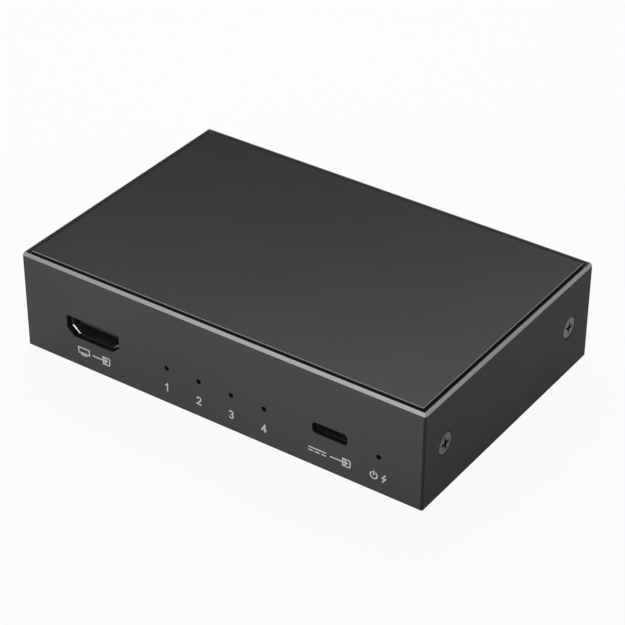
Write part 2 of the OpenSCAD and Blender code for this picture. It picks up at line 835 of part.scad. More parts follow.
module power_inlet_shell() {
    leg_z = inlet_floor - board_t - leg_tail;
    color("#c9cacc")
    at_inlet() translate([0, socket_y, 0]) {
        difference() {
            along_y(inlet_l) stadium(inlet_open_w + 2 * inlet_shell_t, 2 * inlet_half_h);
            translate([0, -cut, 0]) along_y(inlet_l + 2 * cut) stadium(inlet_open_w, inlet_open_h);
        }
        for (x = [-1, 1], y = [inlet_leg_first, inlet_leg_second])
            translate([x * inlet_leg_x - inlet_leg_t / 2, y - leg_w / 2, leg_z])
                cube([inlet_leg_t, leg_w, inlet_shell_t - leg_z]);
    }
}

module power_inlet_insulator() {
    block_y = inlet_l - inlet_block_l;
    foot_l = inlet_l + inlet_rear - inlet_foot_start;
    color("#1c1c1e")
    at_inlet() translate([0, socket_y, 0]) {
        translate([0, block_y, 0]) along_y(inlet_block_l + inlet_rear)
            stadium(inlet_open_w - 2 * insulator_fit, inlet_open_h - 2 * insulator_fit);
        translate([-inlet_tongue_w / 2, inlet_tongue_recess, -inlet_tongue_t / 2])
            cube([inlet_tongue_w, block_y + inlet_rear - inlet_tongue_recess, inlet_tongue_t]);
        translate([-inlet_foot_w / 2, inlet_foot_start, inlet_floor])
            cube([inlet_foot_w, foot_l, -inlet_half_h - inlet_floor]);
        translate([-inlet_foot_w / 2, inlet_l, inlet_floor])
            cube([inlet_foot_w, inlet_rear, -inlet_floor]);
    }
}

module power_inlet_contacts() {
    strip_l = inlet_l - inlet_block_l - inlet_tongue_recess - contact_tip;
    color("#c9a24b")
    at_inlet() {
        translate([0, socket_y + inlet_tongue_recess + contact_tip, 0]) {
            translate([0, 0, inlet_tongue_t / 2])
                contact_row(inlet_contacts, inlet_pitch, inlet_contact_w, strip_l, inlet_contact_t);
            translate([0, 0, -inlet_tongue_t / 2 - inlet_contact_t])
                contact_row(inlet_contacts, inlet_pitch, inlet_contact_w, strip_l, inlet_contact_t);
        }
        for (i = [0:inlet_contacts - 1])
            translate([(i - (inlet_contacts - 1) / 2) * inlet_pitch, inlet_tail_y, inlet_floor])
                solder_tail();
    }
}

// Lights

module light(x) {
    color("#dfe6df")
    at_light(x) translate([0, light_y, 0]) rotate([-90, 0, 0]) {
        translate([0, 0, led_d / 2]) sphere(d = led_d);
        translate([0, 0, led_d / 2]) cylinder(d = led_d, h = led_l - led_d / 2);
        translate([0, 0, led_l - led_collar_t]) cylinder(d = led_collar_d, h = led_collar_t);
    }
}

module status_light(i) { light(status_x(i)); }
module power_light() { light(power_light_x); }

// Two bent wires behind each light, down through the board
module light_leads() {
    low = board_z - light_z - lead_tail;
    half = lead_w / 2;
    color("#b4b6ba")
    for (x = light_places, lead = [-1, 1])
        at_light(x + lead * lead_pitch / 2) translate([0, light_y + led_l, 0])
            along_x(lead_w) polygon([
                [0, half], [lead_bend, half], [lead_bend, low],
                [lead_bend - lead_w, low], [lead_bend - lead_w, -half], [0, -half]
            ]);
}

// Parts on the board

// Flat chip with a mark at one corner
module chip(w, d, t) {
    difference() {
        translate([-w / 2, -d / 2, 0]) cube([w, d, t]);
        translate([mark_d - w / 2, mark_d - d / 2, t - mark_depth])
            cylinder(d = mark_d, h = mark_depth + cut);
    }
}

module splitter_chip() {
    color("#232326") translate([0, -chip_shift, board_top]) chip(chip_w, chip_w, chip_t);
}

module thermal_pad() {
    color("#8f9aa6") translate([-chip_w / 2, -chip_shift - chip_w / 2, chip_top])
        cube([chip_w, chip_w, pad_t]);
}

module heat_sink() {
    step = (sink_w - fin_t) / (fin_count - 1);
    color("#a9adb2") translate([-sink_w / 2, -chip_shift - sink_w / 2, sink_z]) {
        cube([sink_w, sink_w, sink_base]);
        for (i = [0:fin_count - 1])
            translate([i * step, 0, 0]) cube([fin_t, sink_w, sink_h]);
    }
}

module control_chip() {
    color("#232326") translate([control_x, 0, board_top]) chip(control_w, control_w, control_t);
}

module clock_crystal() {
    y = -control_w / 2 - crystal_gap - crystal_w / 2;
    color("#c2c4c8") translate([control_x, y, board_top]) {
        linear_extrude(crystal_rim) stadium(crystal_l + 2 * crystal_rim, crystal_w + 2 * crystal_rim);
        linear_extrude(crystal_t) stadium(crystal_l, crystal_w);
    }
}

// Two small chips behind one video socket
module guard_pair() {
    y = tail_y + tail_foot + guard_gap;
    for (x = [-1, 1])
        translate([x * guard_pitch / 2 - guard_l / 2, y, -shell_t]) cube([guard_l, guard_w, guard_t]);
}

module protection_chips() {
    color("#232326") {
        at_input() guard_pair();
        for (i = [1:output_count]) at_output(i) guard_pair();
    }
}

module bypass_capacitors() {
    reach = chip_w / 2 + bypass_gap;
    color("#b89a6a") translate([0, -chip_shift, board_top])
        for (turn = [0:90:270], i = [0:bypass_count - 1])
            rotate(turn) translate([(i - (bypass_count - 1) / 2) * bypass_pitch - bypass_w / 2, reach, 0])
                cube([bypass_w, bypass_l, bypass_w]);
}

module voltage_regulators() {
    color("#232326")
    for (x = [-1, 1])
        translate([inlet_x + x * coil_pitch / 2, reg_y, board_top]) chip(reg_w, reg_d, reg_t);
}

module power_coils() {
    color("#55565a")
    for (x = [-1, 1])
        translate([inlet_x + x * coil_pitch / 2, coil_y, board_top])
            linear_extrude(coil_t) rounded_rect(coil_w, coil_w, coil_r);
}

module power_capacitors() {
    base_w = cap_d + 2 * cap_margin;
    color("#c5c7ca")
    for (x = [-1, 1])
        translate([inlet_x + x * cap_pitch / 2, cap_y, board_top]) difference() {
            union() {
                translate([-base_w / 2, -base_w / 2, 0]) cube([base_w, base_w, cap_base]);
                cylinder(d = cap_d, h = cap_h);
            }
            translate([0, 0, cap_base + groove_h]) rotate_extrude()
                translate([cap_d / 2, 0]) circle(groove_r);
        }
}

module light_resistors() {
    y = lead_y + lead_hole_d / 2 + resistor_gap - case_d / 2;
    color("#2a2a2e")
    for (x = light_places)
        translate([x - resistor_l / 2, y, board_top]) cube([resistor_l, resistor_w, resistor_t]);
}

case_body();
top_cover();
cover_screws();
clinch_nuts();
rubber_feet();
circuit_board();
board_standoffs();
board_screws();
input_shell();
input_insulator();
input_contacts();
output_shell(1);  // output_1_shell
output_insulator(1);  // output_1_insulator
output_contacts(1);  // output_1_contacts
output_shell(2);  // output_2_shell
output_insulator(2);  // output_2_insulator
output_contacts(2);  // output_2_contacts
output_shell(3);  // output_3_shell
output_insulator(3);  // output_3_insulator
output_contacts(3);  // output_3_contacts
output_shell(4);  // output_4_shell
output_insulator(4);  // output_4_insulator
output_contacts(4);  // output_4_contacts
power_inlet_shell();
power_inlet_insulator();
power_inlet_contacts();
status_light(1);  // status_light_1
status_light(2);  // status_light_2
status_light(3);  // status_light_3
status_light(4);  // status_light_4
power_light();
light_leads();
splitter_chip();
thermal_pad();
heat_sink();
control_chip();
clock_crystal();
protection_chips();
bypass_capacitors();
voltage_regulators();
power_coils();
power_capacitors();
light_resistors();
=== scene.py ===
import json
import math
import bpy
import numpy as np
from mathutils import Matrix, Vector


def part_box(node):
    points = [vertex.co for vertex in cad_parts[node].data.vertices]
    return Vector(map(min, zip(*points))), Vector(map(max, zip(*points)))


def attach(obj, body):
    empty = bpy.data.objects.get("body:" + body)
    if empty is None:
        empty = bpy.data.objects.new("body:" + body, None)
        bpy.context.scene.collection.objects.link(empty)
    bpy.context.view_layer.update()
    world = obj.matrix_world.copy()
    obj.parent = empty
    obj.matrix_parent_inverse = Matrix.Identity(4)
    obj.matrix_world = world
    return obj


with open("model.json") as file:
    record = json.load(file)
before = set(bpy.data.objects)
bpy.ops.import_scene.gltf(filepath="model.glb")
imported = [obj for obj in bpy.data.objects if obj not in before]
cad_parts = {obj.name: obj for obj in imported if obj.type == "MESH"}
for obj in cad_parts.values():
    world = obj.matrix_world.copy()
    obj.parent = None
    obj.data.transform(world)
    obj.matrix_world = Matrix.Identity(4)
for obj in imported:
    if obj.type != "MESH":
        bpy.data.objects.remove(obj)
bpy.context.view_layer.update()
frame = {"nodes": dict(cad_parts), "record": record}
nodes = frame["nodes"]
mm = 0.001                                   # sizes below are in mm unless a note says otherwise
caseLow, caseHigh = (np.array(corner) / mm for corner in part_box("case_body"))
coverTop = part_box("top_cover")[1][2] / mm
print("frame loaded,", len(nodes), "nodes")


def addObject(name, data):
    thing = bpy.data.objects.new(name, data)
    bpy.context.scene.collection.objects.link(thing)
    return thing


# Camera, where the photograph was taken from

shot = {
    "place": (247.22, -356.83, 302.06),
    "turn": (56.18, -0.25, 34.70),           # degrees about X, Y and Z
    "lens": 128.92,
    "sensor": 36,                            # its width
    "nearest": 10,                           # what is closer to the camera is not drawn
}


def addCamera():
    data = bpy.data.cameras.new("shotCamera")
    data.lens = shot["lens"]
    data.sensor_width = shot["sensor"]
    data.clip_start = shot["nearest"] * mm
    camera = addObject("shotCamera", data)
    camera.location = [value * mm for value in shot["place"]]
    camera.rotation_euler = [math.radians(value) for value in shot["turn"]]
    bpy.context.scene.camera = camera


addCamera()
print("camera set")


# Node graphs: each call adds one node, sets it and links the sockets that it is given

noise = {
    "span": (0.3, 0.7),                      # nearly all values of a noise lie in here
    "detail": 3.0,
    "patchDetail": 4.0,                      # for broad patches of colour
    "grainDetail": 2.0,                      # for fine grain
    "glossFiner": 3,                         # on a plain finish the gloss has patches so many times smaller
}


def setSockets(tree, node, sockets):         # links what another node gives, and sets plain values
    for name, value in sockets.items():
        if isinstance(value, bpy.types.NodeSocket):
            tree.links.new(value, node.inputs[name])
        else:
            node.inputs[name].default_value = value


def addNode(tree, kind, sockets=None, **settings):
    node = tree.nodes.new(kind)
    for name, value in settings.items():
        setattr(node, name, value)
    setSockets(tree, node, sockets or {})
    return node


def emptyTree(owner):                        # the cleared node tree of a material or a world
    owner.use_nodes = True
    owner.node_tree.nodes.clear()
    return owner.node_tree


def newFinish(name, shaderValues=None):      # a material, its tree, its shader and its coordinates
    material = bpy.data.materials.new(name)
    tree = emptyTree(material)
    shader = addNode(tree, "ShaderNodeBsdfPrincipled", shaderValues)
    addNode(tree, "ShaderNodeOutputMaterial", {"Surface": shader.outputs[0]})
    coords = addNode(tree, "ShaderNodeTexCoord").outputs
    return material, tree, shader, coords


def noiseAt(tree, vector, size, detail=noise["detail"], stretch=(1, 1, 1)):   # size of a patch
    scaled = addNode(tree, "ShaderNodeMapping", {"Vector": vector, "Scale": stretch}).outputs[0]
    return addNode(tree, "ShaderNodeTexNoise",
                   {"Vector": scaled, "Scale": 1 / (size * mm), "Detail": detail}).outputs[0]


def mathOf(tree, operation, first, second=0.0):
    return addNode(tree, "ShaderNodeMath", {0: first, 1: second}, operation=operation).outputs[0]


def spreadTo(tree, value, low, high, span=noise["span"]):   # stretches a span of values to low and high
    sockets = {"Value": value, "From Min": span[0], "From Max": span[1], "To Min": low, "To Max": high}
    return addNode(tree, "ShaderNodeMapRange", sockets).outputs[0]


def mixColours(tree, share, first, second):  # the Mix node takes colours at 6 and 7, numbers at 2 and 3
    return addNode(tree, "ShaderNodeMix", {0: share, 6: first, 7: second}, data_type="RGBA").outputs[2]


def mixNumbers(tree, share, first, second):
    return addNode(tree, "ShaderNodeMix", {0: share, 2: first, 3: second}, data_type="FLOAT").outputs[0]


def shade(colour, factor):
    return tuple(channel * factor for channel in colour)


def rgba(colour):
    return (*colour, 1)


def mottled(tree, patches, colour, spread):  # the colour from darker to lighter as the noise rises
    ramp = addNode(tree, "ShaderNodeValToRGB", {"Fac": patches})
    tones = (shade(colour, 1 - spread), shade(colour, 1 + spread))
    for stop, position, tone in zip(ramp.color_ramp.elements, noise["span"], tones):
        stop.position = position
        stop.color = rgba(tone)
    return ramp.outputs[0]


def bumpOf(tree, height, strength, distance):
    sockets = {"Height": height, "Strength": strength, "Distance": distance * mm}
    return addNode(tree, "ShaderNodeBump", sockets).outputs[0]


# A plain finish: mottled colour, uneven gloss and a fine grain, which stretch can draw out into lines

def grainedFinish(name, look):
    material, tree, shader, coords = newFinish(name, look.get("shader"))
    here = coords["Object"]
    patches = noiseAt(tree, here, look["patch"], noise["patchDetail"])
    smaller = noiseAt(tree, here, look["patch"] / noise["glossFiner"])
    grain = noiseAt(tree, here, look["grain"], noise["grainDetail"], look.get("stretch", (1, 1, 1)))
    setSockets(tree, shader, {
        "Base Color": mottled(tree, patches, look["colour"], look["spread"]),
        "Roughness": spreadTo(tree, smaller, *look["rough"]),
        "Normal": bumpOf(tree, grain, look["depth"], look["grain"]),
    })
    return material


# Anodised case and cover: blasted grain, the diamond-cut bevel of the rim, painted shade inside the outer
# skin, on the upright corners and in the gap, and painted light on the rim's inner faces and the panel's
# edge

anodised = {
    "case": (0.082, 0.083, 0.087),
    # painted shade: the cover's tone darkened below the case's, so the top reads darker
    "cover": (0.042, 0.042, 0.0443),
    "spread": 0.03,
    "patch": 22,
    "metal": 0.7,
    "level": 0.2,                            # of the gloss over the colour
    "edgeTint": (0.14, 0.14, 0.14),          # holds the gloss down where a face is seen from the side
    "rough": (0.36, 0.38),
    "glossPatch": 9,
    "grain": 0.18,
    "depth": 0.05,
    "cutColour": (0.390, 0.390, 0.397),      # bare metal of the bevel
    "cutRough": 0.30,
    "cutHeight": 0.90,                       # how far down from the rim the bevel may reach
    "cutFacing": (0.3, 0.9),                 # how much the bevel faces up, at least and at most
    "cornerReach": 0.5,                      # upright corners, darkened there as painted shade
    "paintedCornerShade": 0.45,
    "skin": (0.2, 0.35, 0.3),                # deeper than this along X, Y and Z the case takes painted shade
    "paintedInsideShade": (0.030, 0.030, 0.032),
    "insideRough": 0.6,
    "paintedLipLight": (0.30, 0.30, 0.307),        # painted light on the inner faces of the rim, across the gap from the panel
    "gapDepth": 1.8,                         # how far down from the rim that gap reaches
    "paintedGapShade": (0.075, 0.075, 0.077),      # painted shade on the sawn sides of the panel, in the gap
    "panelSkin": 0.01,                       # below this lies the panel's bevelled upper edge
    "paintedEdgeHighlight": (0.47, 0.47, 0.48),         # painted highlight on that edge
    "panelEdgeDepth": 0.095,                 # below this lie the sawn sides
}


def both(tree, first, second):               # 1 where both tests give 1
    return mathOf(tree, "MULTIPLY", first, second)


def heightTest(tree, apart, compare, height):
    return mathOf(tree, compare, apart[2], height * mm)


def sideTest(tree, apart, compare, depths):
    # 1 where the distances from the middle planes along X and Y both pass the test, each against
    # the case's half size less a depth
    tests = [mathOf(tree, compare, mathOf(tree, "ABSOLUTE", apart[axis]), (caseHigh[axis] - depth) * mm)
             for axis, depth in enumerate(depths)]
    return both(tree, *tests)


def caseZones(tree, coords, apart, colour, gloss):
    facing = addNode(tree, "ShaderNodeSeparateXYZ", {0: coords["Normal"]}).outputs[2]
    leastUp, mostUp = anodised["cutFacing"]
    sloping = both(tree, mathOf(tree, "GREATER_THAN", facing, leastUp),
                   mathOf(tree, "LESS_THAN", facing, mostUp))
    high = heightTest(tree, apart, "GREATER_THAN", caseHigh[2] - anodised["cutHeight"])
    cut = both(tree, high, sloping)
    corner = sideTest(tree, apart, "GREATER_THAN", [anodised["cornerReach"]] * 2)
    *sideSkin, floorSkin = anodised["skin"]
    deep = sideTest(tree, apart, "LESS_THAN", sideSkin)
    inside = both(tree, deep, heightTest(tree, apart, "GREATER_THAN", caseLow[2] + floorSkin))
    lip = heightTest(tree, apart, "GREATER_THAN", caseHigh[2] - anodised["gapDepth"])
    # painted shade deep inside the case, and painted light on the rim's inner faces near the top
    paintedInnerShadeAndLight = mixColours(tree, lip, rgba(anodised["paintedInsideShade"]), rgba(anodised["paintedLipLight"]))
    # painted shade on the upright corners: the case colour darkened there
    paintedCornerShadeColour = rgba(shade(anodised["case"], anodised["paintedCornerShade"]))
    colour = mixColours(tree, corner, colour, paintedCornerShadeColour)
    colour = mixColours(tree, inside, colour, paintedInnerShadeAndLight)
    colour = mixColours(tree, cut, colour, rgba(anodised["cutColour"]))
    gloss = mixNumbers(tree, inside, gloss, anodised["insideRough"])
    gloss = mixNumbers(tree, cut, gloss, anodised["cutRough"])
    return colour, gloss


def coverZones(tree, apart, colour):
    # painted highlight on the panel's bevelled upper edge, painted shade on its sawn sides in the gap
    belowTop = heightTest(tree, apart, "LESS_THAN", coverTop - anodised["panelSkin"])
    belowEdge = heightTest(tree, apart, "LESS_THAN", coverTop - anodised["panelEdgeDepth"])
    paintedSideLightAndShade = mixColours(tree, belowEdge, rgba(anodised["paintedEdgeHighlight"]), rgba(anodised["paintedGapShade"]))
    return mixColours(tree, belowTop, colour, paintedSideLightAndShade)


def anodisedFinish(name, piece):             # piece is case or cover
    material, tree, shader, coords = newFinish(name, {
        "Metallic": anodised["metal"], "Specular IOR Level": anodised["level"],
        "Specular Tint": rgba(anodised["edgeTint"])})
    here = coords["Object"]
    apart = addNode(tree, "ShaderNodeSeparateXYZ", {0: here}).outputs
    patches = noiseAt(tree, here, anodised["patch"], noise["patchDetail"])
    colour = mottled(tree, patches, anodised[piece], anodised["spread"])
    gloss = spreadTo(tree, noiseAt(tree, here, anodised["glossPatch"]), *anodised["rough"])
    if piece == "case":
        colour, gloss = caseZones(tree, coords, apart, colour, gloss)
    else:
        colour = coverZones(tree, apart, colour)
    grain = noiseAt(tree, here, anodised["grain"], noise["grainDetail"])
    bump = bumpOf(tree, grain, anodised["depth"], anodised["grain"])
    setSockets(tree, shader, {"Base Color": colour, "Roughness": gloss, "Normal": bump})
    return material


# Countersunk screws: turned rings round each head, and painted shade down in the recess

screwLook = {
    "colour": (0.13, 0.13, 0.134),
    "spread": 0.15,
    "patch": 1.2,
    "metal": 0.9,
    "recessShade": (0.75, 1.6),                     # painted shade in the recess: share of that colour in the middle, radius where it is full
    "ringPitch": 0.22,
    "ringStrength": 0.12,
    "ringDepth": 0.02,
    "rough": (0.34, 0.44),
}


def screwFinish(name):
    material, tree, shader, coords = newFinish(name, {"Metallic": screwLook["metal"]})
    here = coords["Object"]
    apart = addNode(tree, "ShaderNodeSeparateXYZ", {0: here}).outputs
    low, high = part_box("cover_screws")       # the heads' top and bottom give their radius and their middle
    headRadius = (high.z - low.z) / 2
    across = mathOf(tree, "SUBTRACT", mathOf(tree, "ABSOLUTE", apart[1]), high.y - headRadius)
    upward = mathOf(tree, "SUBTRACT", apart[2], low.z + headRadius)
    squares = mathOf(tree, "ADD", mathOf(tree, "MULTIPLY", across, across),
                     mathOf(tree, "MULTIPLY", upward, upward))
    radius = mathOf(tree, "SQRT", squares)
    turns = mathOf(tree, "MULTIPLY", radius, 2 * math.pi / (screwLook["ringPitch"] * mm))
    rings = mathOf(tree, "SINE", turns)      # waves with the distance from the head's middle
    patches = noiseAt(tree, here, screwLook["patch"])
    colour = mottled(tree, patches, screwLook["colour"], screwLook["spread"])
    recessShadeShare, recessShadeRadius = screwLook["recessShade"]
    unshadedShare = spreadTo(tree, radius, recessShadeShare, 1.0, (0.0, recessShadeRadius * mm))
    setSockets(tree, shader, {
        "Base Color": mixColours(tree, unshadedShare, rgba((0, 0, 0)), colour),
        "Roughness": spreadTo(tree, patches, *screwLook["rough"]),
        "Normal": bumpOf(tree, rings, screwLook["ringStrength"], screwLook["ringDepth"]),
    })
    return material


# Circuit board: solder mask over fine tracks

boardLook = {
    "mask": (0.010, 0.085, 0.030),
    "track": (0.020, 0.150, 0.055),
    "spread": 0.1,
    "patch": 12,
    "rough": 0.35,
    "trackUnit": 1.3,                        # the next three are multiples of this length
    "trackWide": 0.12,
    "trackLong": 6.0,
    "trackRow": 0.62,
    "trackStrength": 0.2,
    "trackHeight": 0.03,
}


def boardFinish(name):
    material, tree, shader, coords = newFinish(name, {"Roughness": boardLook["rough"]})
    here = coords["Object"]
    tracks = addNode(tree, "ShaderNodeTexBrick", {
        "Vector": here, "Scale": 1 / (boardLook["trackUnit"] * mm), "Mortar Size": boardLook["trackWide"],
        "Brick Width": boardLook["trackLong"], "Row Height": boardLook["trackRow"]}).outputs["Fac"]
    patches = noiseAt(tree, here, boardLook["patch"])
    mask = mottled(tree, patches, boardLook["mask"], boardLook["spread"])
    setSockets(tree, shader, {
        "Base Color": mixColours(tree, tracks, mask, rgba(boardLook["track"])),
        "Normal": bumpOf(tree, tracks, boardLook["trackStrength"], boardLook["trackHeight"]),
    })
    return material


# Finish of every other slot

plainLooks = {
    "plated_steel": {"colour": (0.52, 0.53, 0.55), "spread": 0.08, "patch": 3.0, "grain": 0.12,
                     "depth": 0.06, "rough": (0.26, 0.38), "shader": {"Metallic": 1.0}},
    "foot_rubber": {"colour": (0.020, 0.020, 0.021), "spread": 0.15, "patch": 2.5, "grain": 0.25,
                    "depth": 0.25, "rough": (0.70, 0.85)},
    # painted shade: the shell's steel darkened, as it lies down in the openings
    "socket_shell": {"colour": (0.20, 0.20, 0.205), "spread": 0.10, "patch": 2.0, "grain": 0.10,
                     "depth": 0.08, "rough": (0.22, 0.30), "stretch": (1, 0.08, 1),
                     "shader": {"Metallic": 0.86}},
    "socket_plastic": {"colour": (0.022, 0.021, 0.021), "spread": 0.12, "patch": 1.5, "grain": 0.12,
                       "depth": 0.12, "rough": (0.42, 0.55), "shader": {"Specular IOR Level": 0.25}},
    "contact_gold": {"colour": (0.62, 0.41, 0.15), "spread": 0.10, "patch": 0.8, "grain": 0.06,
                     "depth": 0.06, "rough": (0.22, 0.34), "shader": {"Metallic": 1.0}},
    "light_lens": {"colour": (0.50, 0.53, 0.50), "spread": 0.06, "patch": 0.6, "grain": 0.08,
                   "depth": 0.04, "rough": (0.10, 0.20),
                   "shader": {"Transmission Weight": 0.5, "IOR": 1.5}},
    "chip_plastic": {"colour": (0.018, 0.018, 0.020), "spread": 0.15, "patch": 1.8, "grain": 0.10,
                     "depth": 0.20, "rough": (0.55, 0.68)},
    "pad_rubber": {"colour": (0.24, 0.29, 0.34), "spread": 0.08, "patch": 1.5, "grain": 0.20,
                   "depth": 0.20, "rough": (0.70, 0.82)},
    "sink_metal": {"colour": (0.40, 0.41, 0.43), "spread": 0.08, "patch": 5.0, "grain": 0.15,
                   "depth": 0.12, "rough": (0.34, 0.46), "stretch": (1, 0.05, 1),
                   "shader": {"Metallic": 1.0}},
    "capacitor_ceramic": {"colour": (0.42, 0.31, 0.16), "spread": 0.10, "patch": 0.5, "grain": 0.08,
                          "depth": 0.10, "rough": (0.45, 0.55)},
    "coil_ferrite": {"colour": (0.085, 0.085, 0.090), "spread": 0.15, "patch": 1.2, "grain": 0.12,
                     "depth": 0.25, "rough": (0.60, 0.72)},
    "can_metal": {"colour": (0.55, 0.56, 0.58), "spread": 0.06, "patch": 2.5, "grain": 0.10,
                  "depth": 0.08, "rough": (0.24, 0.34), "stretch": (1, 1, 0.1),
                  "shader": {"Metallic": 1.0}},
    "resistor_ceramic": {"colour": (0.020, 0.020, 0.024), "spread": 0.12, "patch": 0.5, "grain": 0.06,
                         "depth": 0.08, "rough": (0.35, 0.45)},
}

finishes = {slot: grainedFinish(slot, look) for slot, look in plainLooks.items()}
finishes["case_metal"] = anodisedFinish("case_metal", "case")
finishes["cover_metal"] = anodisedFinish("cover_metal", "cover")
finishes["screw_steel"] = screwFinish("screw_steel")
finishes["board_laminate"] = boardFinish("board_laminate")

for subpart in frame["record"]["subparts"]:
    mesh = nodes[subpart["node"]].data
    mesh.materials.clear()
    mesh.materials.append(finishes[subpart["material_slot"]])


# Printed signs on front and back: strokes of ink, each a flat profile carried along a path on the face

ink = {
    "stroke": 0.35,
    "film": 0.020,                           # how far the ink stands on the face
    "rise": 0.002,                           # how much further with each next stroke of a sign
    "sunk": 0.005,                           # how far it reaches into the face
    "top": 0.86,                             # width of a stroke's top, as a share of its foot
    "row": 5.25,                             # height of the signs' middle above the ground
    "tall": 2.25,
    "arcSteps": 20,
    "capSteps": 6,
    "capEnd": 86,                            # degrees: a cap ends in a sliver, which its end face closes
}

inkLook = {"colour": (0.68, 0.68, 0.69), "spread": 0.05, "patch": 0.6, "grain": 0.08,
           "depth": 0.10, "rough": (0.45, 0.58)}

inkFinish = grainedFinish("sign_ink", inkLook)


def arcPoints(middle, radius, start, end, count=ink["arcSteps"]):
    # Circle arc: the middle plus the radius times (cos, sin) of the angle, in degrees
    angles = np.radians(np.linspace(start, end, count))
    return np.array(middle) + radius * np.stack([np.cos(angles), np.sin(angles)], axis=1)


def strokeSurface(path, film):
    # Profile carried along a path: at each point the half width goes out along the mitred normal, and
    # past each end it follows a half circle, half width times cos a at half width times sin a further on.
    path = np.asarray(path, float)
    halfWide = ink["stroke"] / 2
    steps = np.diff(path, axis=0)
    tangents = steps / np.linalg.norm(steps, axis=1, keepdims=True)
    before = np.vstack([tangents[:1], tangents])
    after = np.vstack([tangents, tangents[-1:]])
    mean = before + after
    mean /= np.linalg.norm(mean, axis=1, keepdims=True)
    normals = np.stack([-mean[:, 1], mean[:, 0]], axis=1)
    reach = halfWide / np.sum(mean * after, axis=1, keepdims=True)
    angles = np.linspace(0, math.pi / 2, ink["capSteps"] + 1)[1:]
    angles[-1] = math.radians(ink["capEnd"])
    side = np.cos(angles)[:, None] * halfWide
    along = np.sin(angles)[:, None] * halfWide
    centres = np.vstack([(path[0] - tangents[0] * along)[::-1], path, path[-1] + tangents[-1] * along])
    reaches = np.vstack([(normals[0] * side)[::-1], normals * reach, normals[-1] * side])
    profile = np.array([[-1, -ink["sunk"]], [1, -ink["sunk"]], [ink["top"], film], [-ink["top"], film]])
    flat = centres[:, None, :] + reaches[:, None, :] * profile[None, :, :1]
    proud = np.broadcast_to(profile[None, :, 1], flat.shape[:2])
    points = np.stack([flat[..., 0], caseLow[1] - proud, flat[..., 1]], axis=2)
    rows, width = points.shape[:2]
    first = np.arange((rows - 1) * width).reshape(rows - 1, width)
    following = np.roll(first, -1, 1)
    faces = np.stack([first, following, following + width, first + width], axis=2).reshape(-1, 4)
    ends = np.stack([first[0, ::-1], first[-1] + width])   # four corners each, as the profile has
    return points.reshape(-1, 3), np.vstack([faces, ends])


def addSign(name, middleX, strokes, turn=1):
    # strokes are paths about the sign's middle, and turn -1 carries the sign round to the back
    vertices, faces, count = [], [], 0
    for order, path in enumerate(strokes):
        placed = np.asarray(path) + (middleX * turn, ink["row"])
        points, quads = strokeSurface(placed, ink["film"] + ink["rise"] * order)
        vertices.append(points * (turn, turn, 1))
        faces.append(quads + count)
        count += len(points)
    mesh = bpy.data.meshes.new(name)
    mesh.from_pydata(np.concatenate(vertices) * mm, [], np.concatenate(faces).tolist())
    mesh.materials.append(inkFinish)
    sign = addObject(name, mesh)
    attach(sign, "root")


half = (ink["tall"] - ink["stroke"]) / 2     # from a sign's middle to the middle of its top stroke
bowl = half / 2                              # radius of a digit's bowls

# Digits, in lengths from their middle and in degrees

digitForm = {
    "oneFlag": 0.42,                         # as far to the left as down from the top
    "oneStem": 0.05,
    "twoWider": 0.05,                        # its bowl's radius is so much larger
    "twoTurn": (172, -32),
    "twoBase": 0.55,
    "threeTurn": 155,
    "threeWider": 0.02,                      # its lower bowl's radius is so much larger
    "fourStem": 0.25,
    "fourBar": (-0.58, 0.62),
    "fourLow": -0.42,
}


def digitOne():                              # a flag up to the top of a stem
    flag, stem = digitForm["oneFlag"], digitForm["oneStem"]
    return [[(-flag, half - flag), (stem, half), (stem, -half)]]


def digitTwo():                              # a bowl that runs down into a base
    radius, base = bowl + digitForm["twoWider"], digitForm["twoBase"]
    head = arcPoints((0, half - radius), radius, *digitForm["twoTurn"])
    return [np.vstack([head, [(-base, -half), (base, -half)]])]


def digitThree():                            # two bowls, which meet in the middle
    turn = digitForm["threeTurn"]
    upper = arcPoints((0, bowl), bowl, turn, -90)
    lower = arcPoints((0, -bowl), bowl + digitForm["threeWider"], 90, -turn)
    return [upper, lower]


def digitFour():                             # a slope and a bar, and a stem across the bar
    stem, low = digitForm["fourStem"], digitForm["fourLow"]
    left, right = digitForm["fourBar"]
    return [[(stem, half), (left, low), (right, low)], [(stem, half), (stem, -half)]]


# Pictograms, in lengths from the sign's middle and in degrees

arrowForm = {
    "frameWide": 1.9,
    "corner": 0.35,                          # radius of the frame's right corners
    "cornerSteps": 6,
    "doorway": 0.30,                         # half height of the opening that the arrow goes through
    "tipInset": 0.75,                        # from the frame's right side to the tip
    "shaftInset": 0.25,                      # from the tip to the end of the shaft
    "barb": (0.62, 0.55),                    # length and half height of the head
}


def arrowInto(left, right):                  # an arrow from left that points into a frame ending at right
    frameLeft = right - arrowForm["frameWide"]
    corner, door = arrowForm["corner"], arrowForm["doorway"]
    cornerX, cornerZ = right - corner, half - corner
    outline = np.vstack([
        [(frameLeft, -door), (frameLeft, -half)],
        arcPoints((cornerX, -cornerZ), corner, -90, 0, arrowForm["cornerSteps"]),
        arcPoints((cornerX, cornerZ), corner, 0, 90, arrowForm["cornerSteps"]),
        [(frameLeft, half), (frameLeft, door)]])
    tip = right - arrowForm["tipInset"]
    barbLong, barbHigh = arrowForm["barb"]
    shaft = [(left, 0), (tip - arrowForm["shaftInset"], 0)]
    return [outline, shaft, [(tip - barbLong, barbHigh), (tip, 0), (tip - barbLong, -barbHigh)]]


screenForm = {
    "raise": 0.5,                            # the display's lower side above its stand
    "stand": (0.25, 0.75),                   # the stand's ends, as shares of the display's width
}


def screenSign(left, wide):                  # a display on its stand
    right, low = left + wide, -half + screenForm["raise"]
    start, end = (left + wide * share for share in screenForm["stand"])
    outline = [(left, low), (right, low), (right, half), (left, half), (left, low - ink["stroke"] / 2)]
    return [outline, [(start, -half), (end, -half)]]


